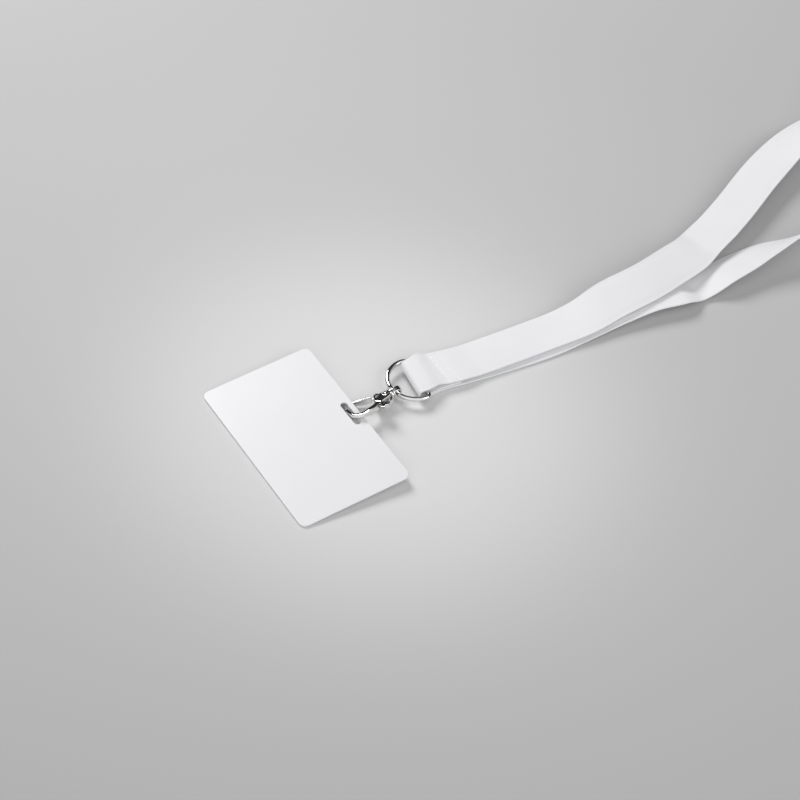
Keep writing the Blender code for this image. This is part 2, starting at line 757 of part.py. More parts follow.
def make_gate():
    """Blade from the hub to the nose: thin in the slot, then tall, then lower at its tip."""
    pin = Vector((PIN_U, PIN_V, 0))
    nose = Vector((NOSE_U, NOSE_V, 0)) - pin
    tip = nose - nose.normalized() * GATE_NOSE_GAP
    neck = Vector((PIN_RADIUS + GATE_NECK_WIDTH / 2, GATE_NECK_WIDTH / 2, 0))
    root = Vector((EAR_RADIUS + GATE_WIDTH / 2, GATE_ROOT_RISE, 0))
    blade = tip - root
    across = Vector((-blade.y, blade.x, 0)).normalized()
    half_step = blade.normalized() * GATE_WIDTH / 4
    neck_height = LEVER_THICKNESS - LEVER_EDGE_ROUND
    stations = (
        (neck, UP.cross(Vector((1, 0, 0))), GATE_NECK_WIDTH, neck_height),
        (root - half_step, across, GATE_NECK_WIDTH, neck_height),
        (root + half_step, across, GATE_WIDTH, GATE_ROOT_HEIGHT),
        (root.lerp(tip, 1 / 2), across, GATE_WIDTH, GATE_ROOT_HEIGHT),
        (tip, across_swing(tip + pin), GATE_WIDTH, GATE_TIP_HEIGHT),
    )
    sections = []
    for middle, side, width, height in stations:
        corners = rounded_rectangle(width / 2, height / 2, GATE_CORNER_RADIUS, CORNER_STEPS)
        sections.append([middle + side * a + UP * b for a, b in corners])
    return loft(sections)


def make_lever(material, body):
    hole = disc_outline((0, 0), PIN_RADIUS + RUNNING_FIT)
    flat = plate(lever_outline(), LEVER_THICKNESS, LEVER_EDGE_ROUND, hole, 1)
    lever = new_object("hook_lever", flat, material, hub_frame(body), body)
    combine(lever, helper("lever_gate", make_gate(), lever), "UNION")
    combine(lever, helper("lever_rim", tab_rim(), lever), "UNION")
    return lever


def make_pin(material, body):
    """Rivet through both ears, with a low round head on each."""
    half = BODY_THICKNESS / 2 + EAR_BOSS + RUNNING_FIT
    profile = (
        (-half - PIN_HEAD_HEIGHT, PIN_HEAD_TOP_RADIUS),
        (-half - PIN_HEAD_HEIGHT / 2, PIN_HEAD_RADIUS),
        (-half, PIN_HEAD_RADIUS),
        (-half + RUNNING_FIT / 2, PIN_RADIUS),
        (half - RUNNING_FIT / 2, PIN_RADIUS),
        (half, PIN_HEAD_RADIUS),
        (half + PIN_HEAD_HEIGHT / 2, PIN_HEAD_RADIUS),
        (half + PIN_HEAD_HEIGHT, PIN_HEAD_TOP_RADIUS),
    )
    matrix = hub_frame(body) @ Matrix.Rotation(-math.pi / 2, 4, "Y")
    return new_object("lever_pin", turned(profile, ROUND_SEGMENTS // 2), material, matrix, body)


def make_spring(material, body):
    """Compression coil along the slot, from the barrel's end to the lever's arm."""
    start = LEVER_SLOT_START + SPRING_END_GAP + SPRING_WIRE_RADIUS
    arm_side = on_hook(LEVER_ARM_SHARES[0])[0] - LEVER_ARM_WIDTH / 2
    end = arm_side - SPRING_ARM_GAP - SPRING_WIRE_RADIUS
    count = SPRING_TURNS * SPRING_POINTS_PER_TURN
    route = []
    for k in range(count + 1):
        angle = 2 * math.pi * k / SPRING_POINTS_PER_TURN
        route.append(
            Vector(
                (
                    start + (end - start) * k / count,
                    SPRING_V + SPRING_COIL_RADIUS * math.cos(angle),
                    SPRING_COIL_RADIUS * math.sin(angle),
                )
            )
        )
    maker = swept_wire(route, [SPRING_WIRE_RADIUS] * len(route), SPRING_WIRE_SIDES, closed=False)
    return new_object("lever_spring", maker, material, body.matrix_world, body)


def make_card(material, body):
    low_x = SLOT_TO_EDGE - CARD_WIDTH
    middle_x = (low_x + SLOT_TO_EDGE) / 2
    corners = rounded_rectangle(
        CARD_WIDTH / 2, CARD_LENGTH / 2, CARD_CORNER_RADIUS, CARD_CORNER_SEGMENTS
    )
    outline = [(middle_x + x, y) for x, y in corners]
    slot = rounded_rectangle(SLOT_WIDTH / 2, SLOT_LENGTH / 2, SLOT_WIDTH / 2, CARD_CORNER_SEGMENTS)
    maker = plate(outline, CARD_THICKNESS, CARD_EDGE_ROUND, slot, 1)
    lift = (0, 0, CARD_THICKNESS / 2)
    bmesh.ops.translate(maker, verts=maker.verts, vec=lift)
    return new_object("badge_card", maker, material, CARD, body)


def width_vector(heading, tilt):
    """Unit vector across the strip, to its far side; tilt lifts that side."""
    side = Vector((-heading.y, heading.x, 0)).normalized()
    return side * math.cos(tilt) + UP * math.sin(tilt)


def seam_station(share, y_share, level, tilt=0.0):
    skew = FOLD_SKEW * max(0, 1 - share / SKEW_END_SHARE)
    across = width_vector(Vector((math.cos(skew), -math.sin(skew), 0)), math.radians(tilt))
    x = RING_BAR_X + share * SEAM_LENGTH
    return (x, y_share * WEBBING_WIDTH, level, *across)


def leg_stations(table):
    places = []
    for x_share, y_share, plies, lift_share, degrees in table:
        tilt = math.radians(degrees)
        half_height = HALF_WEBBING * abs(math.sin(tilt)) + WEBBING_THICKNESS / 2 * math.cos(tilt)
        height = half_height + plies * (WEBBING_THICKNESS + GAP) + lift_share * WEBBING_WIDTH
        places.append((Vector((x_share * LOOP_REACH, y_share * LOOP_REACH, height)), tilt))
    found = []
    for i, (place, tilt) in enumerate(places):
        heading = places[min(i + 1, len(places) - 1)][0] - places[max(i - 1, 0)][0]
        found.append((*place, *width_vector(heading, tilt)))
    return found


def fold_stations():
    """Half circle over the bar's front, from the top ply to the return ply."""
    found = []
    y_share = UPPER_SEAM_SHARES[0][1]
    across = width_vector(Vector((math.cos(FOLD_SKEW), -math.sin(FOLD_SKEW), 0)), 0)
    for k in range(FOLD_SEGMENTS + 1):
        angle = math.pi * k / FOLD_SEGMENTS
        found.append(
            (
                RING_BAR_X - FOLD_BACK - FOLD_RADIUS * math.sin(angle),
                y_share * WEBBING_WIDTH,
                RING_BAR_Z + FOLD_RADIUS * math.cos(angle),
                *across,
            )
        )
    return found


def webbing_route():
    """The strip's middle line with its width vector, from the cut lower end to the sewn one."""
    rise = BAR_TOP_LEVEL - seam_level(2)
    lower_seam = [seam_station(s, y, seam_level(0)) for s, y in LOWER_SEAM_SHARES]
    upper_seam = [
        seam_station(s, y, seam_level(2) + r * rise, t) for s, y, r, t in UPPER_SEAM_SHARES
    ]
    return_ply = [seam_station(s, y, seam_level(1)) for s, y in RETURN_SEAM_SHARES]
    upper_leg = leg_stations(UPPER_LEG_SHARES + FAR_TURN_SHARES)
    lower_leg = leg_stations(LOWER_LEG_SHARES)
    stations = lower_seam + lower_leg + upper_leg[::-1] + upper_seam[::-1]
    long_part = smooth_through(stations, STRIP_STEP)
    return long_part + fold_stations() + smooth_through(return_ply, STRIP_STEP)


def make_webbing(material):
    route = webbing_route()
    sections = []
    places = [Vector(point[:3]) for point in route]
    for i, point in enumerate(route):
        run = (places[min(i + 1, len(places) - 1)] - places[max(i - 1, 0)]).normalized()
        across = Vector(point[3:]).normalized()
        normal = run.cross(across).normalized()
        slant = math.sqrt(1 - across.dot(run) ** 2)
        corners = rounded_rectangle(
            HALF_WEBBING / slant, WEBBING_THICKNESS / 2, WEBBING_EDGE_ROUND, 1
        )
        sections.append([places[i] + across * a + normal * b for a, b in corners])
    return new_object("lanyard_webbing", loft(sections), material, Matrix.Identity(4))


def seam_corners(level):
    """Corners of the box of stitches, at this height."""
    middle_y = LOWER_SEAM_SHARES[2][1] * WEBBING_WIDTH
    half = HALF_WEBBING - SEAM_SIDE_MARGIN
    rows = [RING_BAR_X + share * SEAM_LENGTH for share in STITCH_ROW_SHARES]
    ends = ((rows[0], -half), (rows[1], -half), (rows[1], half), (rows[0], half))
    return [Vector((x, middle_y + y, level)) for x, y in ends]


def make_thread(name, level, radius, material):
    """One thread round the box of stitches, pinched where each stitch goes down."""
    corners = seam_corners(level)
    route = []
    sizes = []
    for start, end in zip(corners, corners[1:] + corners[:1]):
        count = round((end - start).length / STITCH_PITCH)
        for k in range(count):
            for share, size in STITCH_SIZE_SHARES:
                route.append(start.lerp(end, (k + share) / count))
                sizes.append(radius * size)
    return new_object(
        name, swept_wire(route, sizes, STITCH_SIDES, closed=True), material, Matrix.Identity(4)
    )


def main():
    clear_scene()
    nickel = new_material("nickel_plate", (0.72, 0.71, 0.70), 1.0, 0.18)
    steel = new_material("spring_steel", (0.42, 0.42, 0.43), 1.0, 0.35)
    plastic = new_material("card_plastic", (0.86, 0.86, 0.88), 0.0, 0.35)
    polyester = new_material("white_polyester", (0.84, 0.84, 0.85), 0.0, 0.75)
    thread = new_material("white_thread", (0.88, 0.88, 0.88), 0.0, 0.6)

    make_webbing(polyester)
    top = seam_level(2) + WEBBING_THICKNESS / 2 + THREAD_GAP + THREAD_RADIUS
    underside = SEAM_LIFT - THREAD_GAP - BOBBIN_THREAD_RADIUS
    make_thread("needle_thread", top, THREAD_RADIUS, thread)
    make_thread("bobbin_thread", underside, BOBBIN_THREAD_RADIUS, thread)
    ring = make_ring(nickel)
    eye = make_eye(nickel, ring)
    body = make_hook_body(nickel, eye)
    make_lever(nickel, body)
    make_pin(steel, body)
    make_spring(steel, body)
    make_card(plastic, body)


main()
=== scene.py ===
"""Looks for the badge card on its swivel hook and neck lanyard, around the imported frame."""

import math

import bmesh
import bpy
from mathutils import Euler, Matrix, Vector


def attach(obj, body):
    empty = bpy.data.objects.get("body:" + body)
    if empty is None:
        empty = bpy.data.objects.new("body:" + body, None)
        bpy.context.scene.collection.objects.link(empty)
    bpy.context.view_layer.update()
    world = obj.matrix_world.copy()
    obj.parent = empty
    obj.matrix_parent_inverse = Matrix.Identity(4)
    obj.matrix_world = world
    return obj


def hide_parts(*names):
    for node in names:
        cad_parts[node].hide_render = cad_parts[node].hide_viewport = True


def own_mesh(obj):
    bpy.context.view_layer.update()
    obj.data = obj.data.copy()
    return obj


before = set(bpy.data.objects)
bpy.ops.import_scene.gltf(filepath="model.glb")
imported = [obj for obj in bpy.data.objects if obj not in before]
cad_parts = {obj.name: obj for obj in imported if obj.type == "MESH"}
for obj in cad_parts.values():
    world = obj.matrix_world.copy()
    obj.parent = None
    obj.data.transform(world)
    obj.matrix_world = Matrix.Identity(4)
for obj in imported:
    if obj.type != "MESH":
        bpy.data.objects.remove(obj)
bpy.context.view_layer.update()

MM = 0.001
UP = Vector((0, 0, 1))
SHARP_ANGLE = math.radians(50)

# The photograph's view: the camera's place, and its turn about X, Y and Z in degrees.
CAMERA_PLACE = (-0.492555, -0.529517, 0.724769)
CAMERA_TURN = (42.6767, -5.2152, -32.6977)
CAMERA_LENS = 101.25
CAMERA_SENSOR = 36.0
CAMERA_CLIP_START = 10.0 * MM

# Light: a soft key from the far side of the table, and a studio that is bright on the near side.
LIGHT_TARGET = Vector((-0.08, 0, 0))
KEY_PLACE = (-0.08, 0.96, 0.80)
KEY_SIZE = 0.60
KEY_POWER = 11.5
FILL_PLACE = (0.45, -0.80, 0.80)
FILL_SIZE = 0.8
FILL_POWER = 2.5
BRIGHT_SIDE = (-0.35, -0.75, 0.56)
WORLD_STRENGTH = 1.0
WORLD_COLOURS = (
    (0.00, (0.025, 0.025, 0.026)),
    (0.22, (0.120, 0.120, 0.122)),
    (0.50, (0.420, 0.420, 0.425)),
    (0.75, (1.000, 1.000, 1.000)),
)

# Floor: a painted pool of light, palest round a point by the hook and darker outwards.
FLOOR_SIZE = 4.0
FLOOR_Z = -0.05 * MM
PAINTED_POOL_CENTRE = (-0.09, -0.005, 0)
PAINTED_POOL_REACH = 0.30
FLOOR_SHADER = {"Roughness": 0.9, "Specular IOR Level": 0.0}
PAINTED_POOL_COLOURS = (
    (0.05, (0.725, 0.725, 0.726)),
    (0.22, (0.705, 0.704, 0.707)),
    (0.42, (0.530, 0.528, 0.531)),
    (0.60, (0.515, 0.513, 0.516)),
    (1.00, (0.470, 0.469, 0.472)),
)

# Webbing: the solid's own sizes, read more finely.
WIDTH = 20.0 * MM
THICKNESS = 1.0 * MM
PLY_GAP = 0.25 * MM
GAP = 0.3 * MM
SEAM_LIFT = 0.25 * MM
SEAM_LENGTH = 17.0 * MM
LOOP_REACH = 355.0 * MM
RING_BAR_X = -62.5 * MM
WIRE_RADIUS = 1.1 * MM
FOLD_RADIUS = WIRE_RADIUS + PLY_GAP + THICKNESS / 2
FOLD_SKEW = math.radians(8.0)
FOLD_BACK = 1.8 * MM
SKEW_END_SHARE = 0.7
STEEPEST_SHARE = 3.0
FINE_STEP = 0.4 * MM
FOLD_STEPS = 30

# Ring and thread: the source's own sizes, with finer steps and an arch for each stitch.
RING_CENTRE_Y = 3.9 * MM
RING_RADIUS = 21.3 * MM / 2 + WIRE_RADIUS
RING_LEG = 0.1 * MM
RING_CORNER_RADIUS = 2.0 * MM
RING_YAW = math.radians(5.0)
RING_BAR_SHARES = (1, 0.5, 0, -0.5, -1)
RING_SIDES = 28
RING_ARC_STEPS = 120
RING_CORNER_STEPS = 8
THREAD_RADIUS = 0.16 * MM
STITCH_PITCH = 2.4 * MM
STITCH_ROWS = (0.72, 0.94)
SEAM_SIDE_MARGIN = 1.2 * MM
STITCH_STEPS = 12
STITCH_SIDES = 10
STITCH_END_SHARE = 0.06
STITCH_ARCH_SHARE = 0.9
STITCH_SUNK_SHARE = 1.1
STITCH_END_RADIUS_SHARE = 0.55
STITCH_FLAT_SHARE = 1.15

# Cast pieces: the weld, the skin's cell, and how often and how far its edges are melted.
WELD = 0.001 * MM
CAST_VOXEL = 0.11 * MM
CAST_ROUNDS = 4
CAST_MELT_SHARE = 0.5

# Webbing's stations, the solid's own. A seam's row is a share of its length, the middle's y as
# a share of the width and, on top, the rise to the bar and a tilt in degrees. A leg's row is x
# and y as shares of the loop's reach, the plies beneath, the lift as a share of the width, and
# the tilt in degrees.
UPPER_SEAM = (
    (0.02, 0.225, 1.00, 0),
    (0.20, 0.255, 0.95, 1),
    (0.36, 0.285, 0.68, 2),
    (0.53, 0.280, 0.25, 1),
    (0.68, 0.255, 0.00, 0),
    (1.06, 0.195, 0.00, 0),
)
LOWER_SEAM = ((0.06, 0.225), (0.42, 0.235), (0.78, 0.210), (1.12, 0.165))
RETURN_SEAM = ((0.02, 0.225), (0.42, 0.235), (1.00, 0.195))
UPPER_LEG = (
    (-0.088, 0.0087, 1, 0.020, 0),
    (-0.062, 0.0073, 1, 0.020, 0),
    (0.021, 0.0033, 1, 0.035, 0),
    (0.068, -0.0002, 1, 0.090, 6),
    (0.113, 0.0009, 1, 0.170, 18),
    (0.171, 0.0032, 1, 0.245, 17),
    (0.227, 0.0135, 1, 0.225, 16),
    (0.266, 0.0230, 1, 0.205, 12),
    (0.292, 0.0350, 1, 0.205, 3),
    (0.333, 0.0504, 1, 0.235, 0),
    (0.369, 0.0656, 1, 0.260, 0),
    (0.452, 0.1045, 1, 0.310, 0),
    (0.521, 0.1324, 1, 0.245, -10),
    (0.606, 0.1606, 0, 0.110, -40),
    (0.690, 0.1775, 0, 0.010, -75),
    (0.775, 0.1803, 0, 0, -90),
    (0.845, 0.1690, 0, 0, -90),
    (0.915, 0.1350, 0, 0, -90),
    (0.975, 0.0780, 0, 0, -90),
    (1.000, 0.0050, 0, 0, -90),
    (0.978, -0.0700, 0, 0, -90),
    (0.915, -0.1240, 0, 0, -90),
    (0.830, -0.1450, 0, 0, -90),
)
LOWER_LEG = (
    (-0.077, 0.0039, 0, 0, 0),
    (0.006, -0.0036, 0, 0.005, 0),
    (0.068, -0.0041, 0, 0.060, 0),
    (0.122, -0.0054, 0, 0.150, 0),
    (0.177, -0.0104, 0, 0.200, -2),
    (0.212, -0.0172, 0, 0.165, -4),
    (0.243, -0.0148, 0, 0.010, -2),
    (0.287, -0.0172, 0, 0.008, -17),
    (0.327, -0.0146, 0, 0.005, -22),
    (0.366, -0.0135, 0, 0, -32),
    (0.423, -0.0197, 0, 0, -55),
    (0.493, -0.0394, 0, 0, -80),
    (0.563, -0.0640, 0, 0, -90),
    (0.634, -0.0980, 0, 0, -90),
    (0.725, -0.1310, 0, 0, -90),
)

# Finishes: colours by place on a ramp; noises as scale, detail and roughness; bumps as depth
# and strength; and the shader's own values.
WARP_PITCH_MM = 0.85
RIB_PITCH_MM = 0.6
WEAVE_SHARE = 0.5
RIB_SHARE = 0.5
FUZZ_SHARE = 0.7
FUZZ_NOISE = (90, 5, 0.6)
WEAVE_BUMP = (0.05 * MM, 0.55)
WEBBING_NOISE = (35, 3, 0.5)
WEBBING_COLOURS = ((0.3, (0.842, 0.842, 0.859)), (0.7, (0.866, 0.866, 0.878)))
# Painted shade in the weave: its low yarns are coloured darker, as if shaded in their hollows.
PAINTED_WEAVE_SHADE_COLOURS = ((0.0, (0.94, 0.94, 0.945)), (1.0, (1.0, 1.0, 1.0)))
WEBBING_SHADER = {
    "Roughness": 0.72,
    "Sheen Weight": 0.25,
    "Sheen Roughness": 0.4,
    "Specular IOR Level": 0.35,
}
TWIST_NOISE = (2600, 2, 0.4)
TWIST_BUMP = (0.04 * MM, 0.6)
THREAD_COLOURS = ((0.3, (0.87, 0.87, 0.88)), (0.7, (0.90, 0.90, 0.905)))
THREAD_SHADER = {"Roughness": 0.55, "Sheen Weight": 0.2}
CLOUD_NOISE = (260, 4, 0.55)
CAST_NOISE = (1800, 3, 0.5)
CAST_SHARE = 0.3
CAST_BUMP = (0.02 * MM, 0.25)
CLOUD_STOPS = (0.35, 0.65)
CLOUD_SHARE = 0.90
PLATE_FINISH = ((0.80, 0.79, 0.78), 0.07, 0.15)
WIRE_FINISH = ((0.82, 0.81, 0.80), 0.05, 0.11)
PIN_FINISH = ((0.66, 0.655, 0.65), 0.14, 0.24)
SPRING_FINISH = ((0.42, 0.42, 0.43), 0.25, 0.4)
CARD_NOISE = (28, 3, 0.5)
GRAIN_NOISE = (1400, 2, 0.5)
GRAIN_BUMP = (0.01 * MM, 0.2)
CARD_ROUGHNESS = (0.30, 0.38)
CARD_COLOURS = ((0.3, (0.80, 0.80, 0.82)), (0.7, (0.82, 0.82, 0.838)))
CARD_SHADER = {"Specular IOR Level": 0.5, "Coat Weight": 0.15, "Coat Roughness": 0.2}


# Camera, floor and light.
def make_camera():
    camera = bpy.data.cameras.new("camera")
    camera.lens = CAMERA_LENS
    camera.sensor_width = CAMERA_SENSOR
    camera.clip_start = CAMERA_CLIP_START
    holder = bpy.data.objects.new("camera", camera)
    turn = Euler([math.radians(angle) for angle in CAMERA_TURN])
    holder.matrix_world = Matrix.LocRotScale(Vector(CAMERA_PLACE), turn, None)
    bpy.context.scene.collection.objects.link(holder)
    bpy.context.scene.camera = holder


def make_lamp(name, place, size, power):
    """A soft lamp that looks at the object, and that the camera doesn't see."""
    lamp = bpy.data.lights.new(name, "AREA")
    lamp.shape = "DISK"
    lamp.size = size
    lamp.energy = power
    holder = bpy.data.objects.new(name, lamp)
    holder.location = place
    holder.rotation_euler = (LIGHT_TARGET - Vector(place)).to_track_quat("-Z", "Y").to_euler()
    holder.visible_camera = False
    bpy.context.scene.collection.objects.link(holder)


def make_floor():
    """A plain table top with a painted pool of light: palest under the object, darker outwards.
    """
    signs = ((-1, -1), (1, -1), (1, 1), (-1, 1))
    corners = [(x * FLOOR_SIZE, y * FLOOR_SIZE, FLOOR_Z) for x, y in signs]
    mesh = bpy.data.meshes.new("floor")
    mesh.from_pydata(corners, [], [(0, 1, 2, 3)])
    n = Nodes("floor")
    coords = n.new("ShaderNodeTexCoord")
    reach = n.new("ShaderNodeVectorMath", operation="DISTANCE")
    n.link(coords.outputs["Object"], reach.inputs[0])
    reach.inputs[1].default_value = PAINTED_POOL_CENTRE
    share = n.math("MULTIPLY", reach.outputs["Value"], 1 / PAINTED_POOL_REACH)
    # Painted pool of light: the floor's colour darkens with distance from the pool's centre.
    n.link(n.colours(share, PAINTED_POOL_COLOURS, "B_SPLINE"), n.shader.inputs["Base Color"])
    n.set(FLOOR_SHADER)
    mesh.materials.append(n.material)
    floor = bpy.data.objects.new("floor", mesh)
    bpy.context.scene.collection.objects.link(floor)


def fill_ramp(ramp, stops):
    """Sets a colour ramp's stops, each one a place and a colour."""
    for end, (place, colour) in ((0, stops[0]), (1, stops[-1])):
        ramp.elements[end].position = place
        ramp.elements[end].color = (*colour, 1)
    for place, colour in stops[1:-1]:
        ramp.elements.new(place).color = (*colour, 1)


def make_world():
    """A studio that is bright on the near side and dark beyond the table."""
    world = bpy.data.worlds.new("studio")
    bpy.context.scene.world = world
    world.use_nodes = True
    tree = world.node_tree
    coords = tree.nodes.new("ShaderNodeTexCoord")
    facing = tree.nodes.new("ShaderNodeVectorMath")
    facing.operation = "DOT_PRODUCT"
    tree.links.new(coords.outputs["Generated"], facing.inputs[0])
    facing.inputs[1].default_value = BRIGHT_SIDE
    ramp = tree.nodes.new("ShaderNodeValToRGB")
    fill_ramp(ramp.color_ramp, WORLD_COLOURS)
    tree.links.new(facing.outputs["Value"], ramp.inputs[0])
    back = tree.nodes["Background"]
    tree.links.new(ramp.outputs["Color"], back.inputs["Color"])
    back.inputs["Strength"].default_value = WORLD_STRENGTH


# Materials.
class Nodes:
    """Short calls that build a material's node tree."""

    def __init__(self, name):
        self.material = bpy.data.materials.new(name)
        self.material.use_nodes = True
        self.tree = self.material.node_tree
        self.shader = self.tree.nodes["Principled BSDF"]

    def new(self, kind, **settings):
        node = self.tree.nodes.new(kind)
        for key, value in settings.items():
            setattr(node, key, value)
        return node

    def link(self, output, target):
        self.tree.links.new(output, target)

    def set(self, values):
        for name, value in values.items():
            self.shader.inputs[name].default_value = value

    def math(self, operation, a, b=None):
        node = self.new("ShaderNodeMath", operation=operation)
        for slot, value in ((0, a), (1, b)):
            if value is None:
                continue
            if isinstance(value, (int, float)):
                node.inputs[slot].default_value = value
            else:
                self.link(value, node.inputs[slot])
        return node.outputs[0]

    def noise(self, scale, detail, rough):
        node = self.new("ShaderNodeTexNoise")
        node.inputs["Scale"].default_value = scale
        node.inputs["Detail"].default_value = detail
        node.inputs["Roughness"].default_value = rough
        coords = self.new("ShaderNodeTexCoord")
        self.link(coords.outputs["Object"], node.inputs["Vector"])
        return node.outputs["Fac"]

    def blend_range(self, value, low, high):
        node = self.new("ShaderNodeMapRange")
        node.inputs["To Min"].default_value = low
        node.inputs["To Max"].default_value = high
        self.link(value, node.inputs["Value"])
        return node.outputs["Result"]

    def colours(self, value, stops, curve="LINEAR"):
        node = self.new("ShaderNodeValToRGB")
        node.color_ramp.interpolation = curve
        fill_ramp(node.color_ramp, stops)
        self.link(value, node.inputs[0])
        return node.outputs["Color"]

    def bump(self, height, distance, strength):
        node = self.new("ShaderNodeBump")
        node.inputs["Distance"].default_value = distance
        node.inputs["Strength"].default_value = strength
        self.link(height, node.inputs["Height"])
        self.link(node.outputs["Normal"], self.shader.inputs["Normal"])


def webbing_material():
    """Plain woven polyester: ribs across, warp ends along, a little fuzz, and painted shade that
    darkens the weave's low yarns.
    """
    n = Nodes("webbing_weave")
    uv = n.new("ShaderNodeUVMap", uv_map="strip")
    split = n.new("ShaderNodeSeparateXYZ")
    n.link(uv.outputs["UV"], split.inputs[0])
    across, along = split.outputs["X"], split.outputs["Y"]
    warp = n.math("SINE", n.math("MULTIPLY", across, 2 * math.pi / WARP_PITCH_MM))
    rib = n.math("SINE", n.math("MULTIPLY", along, 2 * math.pi / RIB_PITCH_MM))
    weave = n.math("MULTIPLY", warp, rib)
    ribs = n.math("MULTIPLY", n.math("ABSOLUTE", rib), RIB_SHARE)
    fuzz = n.math("MULTIPLY", n.noise(*FUZZ_NOISE), FUZZ_SHARE)
    yarns = n.math("MULTIPLY", weave, WEAVE_SHARE)
    n.bump(n.math("ADD", yarns, n.math("ADD", ribs, fuzz)), *WEAVE_BUMP)
    base = n.colours(n.noise(*WEBBING_NOISE), WEBBING_COLOURS)
    # Painted shade: the base colour is darkened where the weave dips.
    painted_weave_shade = n.new("ShaderNodeMix", data_type="RGBA", blend_type="MULTIPLY")
    painted_weave_shade.inputs["Factor"].default_value = 1.0
    n.link(base, painted_weave_shade.inputs["A"])
    n.link(n.colours(n.blend_range(weave, 0.0, 1.0), PAINTED_WEAVE_SHADE_COLOURS), painted_weave_shade.inputs["B"])
    n.link(painted_weave_shade.outputs["Result"], n.shader.inputs["Base Color"])
    n.set(WEBBING_SHADER)
    return n.material


def thread_material():
    n = Nodes("sewing_thread")
    twist = n.noise(*TWIST_NOISE)
    n.link(n.colours(twist, THREAD_COLOURS), n.shader.inputs["Base Color"])
    n.bump(twist, *TWIST_BUMP)
    n.set(THREAD_SHADER)
    return n.material


def nickel_material(name, tint, rough_low, rough_high):
    """Bright nickel plate with faint clouding and a little cast texture."""
    n = Nodes(name)
    cloud = n.noise(*CLOUD_NOISE)
    fine = n.noise(*CAST_NOISE)
    darker = tuple(v * CLOUD_SHARE for v in tint)
    tints = tuple(zip(CLOUD_STOPS, (darker, tint)))
    n.link(n.colours(cloud, tints), n.shader.inputs["Base Color"])
    n.link(n.blend_range(fine, rough_low, rough_high), n.shader.inputs["Roughness"])
    n.bump(n.math("ADD", cloud, n.math("MULTIPLY", fine, CAST_SHARE)), *CAST_BUMP)
    n.set({"Metallic": 1.0})
    return n.material


def card_material():
    """Blank white plastic: satin, with the faintest cloud and orange peel."""
    n = Nodes("card_plastic")
    cloud = n.noise(*CARD_NOISE)
    fine = n.noise(*GRAIN_NOISE)
    n.link(n.colours(cloud, CARD_COLOURS), n.shader.inputs["Base Color"])
    n.link(n.blend_range(fine, *CARD_ROUGHNESS), n.shader.inputs["Roughness"])
    n.bump(fine, *GRAIN_BUMP)
    n.set(CARD_SHADER)
    return n.material


# Webbing.
def seam_level(plies_under):
    """Height of a ply's middle in the seam."""
    return SEAM_LIFT + THICKNESS / 2 + plies_under * (THICKNESS + PLY_GAP)


RING_BAR_Z = seam_level(1) + FOLD_RADIUS
BAR_TOP = RING_BAR_Z + FOLD_RADIUS


def eased(before, after, slope):
    """A slope that neither overshoots nor turns back between two rates."""
    if before * after <= 0:
        return 0
    most = STEEPEST_SHARE * min(abs(before), abs(after))
    return max(-most, min(most, slope))


def smooth_through(points, step):
    """Points on a smooth curve through tuples whose first three values are a place."""
    knots = [Vector(point[:3]) for point in points]
    spans = [(b - a).length for a, b in zip(knots, knots[1:])]
    slopes = []
    for i, point in enumerate(points):
        back, ahead = max(i - 1, 0), min(i + 1, len(points) - 1)
        width = sum(spans[back:ahead])
        if 0 < i < len(points) - 1:
            before = [(b - a) / spans[i - 1] for a, b in zip(points[i - 1], point)]
            after = [(b - a) / spans[i] for a, b in zip(point, points[i + 1])]
            slope = [(x * spans[i] + y * spans[i - 1]) / width for x, y in zip(before, after)]
            slope[2:] = [eased(*rates) for rates in zip(before[2:], after[2:], slope[2:])]
        else:
            slope = [(b - a) / width for a, b in zip(points[back], points[ahead])]
        slopes.append(slope)
    found = []
    for i, span in enumerate(spans):
        count = max(1, round(span / step))
        for k in range(count):
            t = k / count
            start = 2 * t**3 - 3 * t**2 + 1
            lead = (t**3 - 2 * t**2 + t) * span
            lag = (t**3 - t**2) * span
            found.append(tuple(
                start * a + (1 - start) * b + lead * c + lag * d
                for a, b, c, d in zip(points[i], points[i + 1], slopes[i], slopes[i + 1])
            ))
    found.append(tuple(points[-1]))
    return found


def width_vector(heading, tilt):
    """Unit vector across the strip, to the left of its heading and tilted up."""
    side = Vector((-heading.y, heading.x, 0)).normalized()
    return side * math.cos(tilt) + UP * math.sin(tilt)


def seam_station(share, y_share, level, tilt=0.0):
    skew = FOLD_SKEW * max(0, 1 - share / SKEW_END_SHARE)
    across = width_vector(Vector((math.cos(skew), -math.sin(skew), 0)), math.radians(tilt))
    return (RING_BAR_X + share * SEAM_LENGTH, y_share * WIDTH, level, *across)


def leg_stations(table):
    places = []
    for x, y, plies, lift, degrees in table:
        tilt = math.radians(degrees)
        half = WIDTH / 2 * abs(math.sin(tilt)) + THICKNESS / 2 * math.cos(tilt)
        height = half + plies * (THICKNESS + GAP) + lift * WIDTH
        places.append((Vector((x * LOOP_REACH, y * LOOP_REACH, height)), tilt))
    found = []
    for i, (place, tilt) in enumerate(places):
        heading = places[min(i + 1, len(places) - 1)][0] - places[max(i - 1, 0)][0]
        found.append((*place, *width_vector(heading, tilt)))
    return found


def fold_stations():
    """Half a turn round the ring's bar, from the top ply down to the return ply."""
    across = width_vector(Vector((math.cos(FOLD_SKEW), -math.sin(FOLD_SKEW), 0)), 0)
    found = []
    for k in range(FOLD_STEPS + 1):
        angle = math.pi * k / FOLD_STEPS
        x = RING_BAR_X - FOLD_BACK - FOLD_RADIUS * math.sin(angle)
        level = RING_BAR_Z + FOLD_RADIUS * math.cos(angle)
        found.append((x, UPPER_SEAM[0][1] * WIDTH, level, *across))
    return found


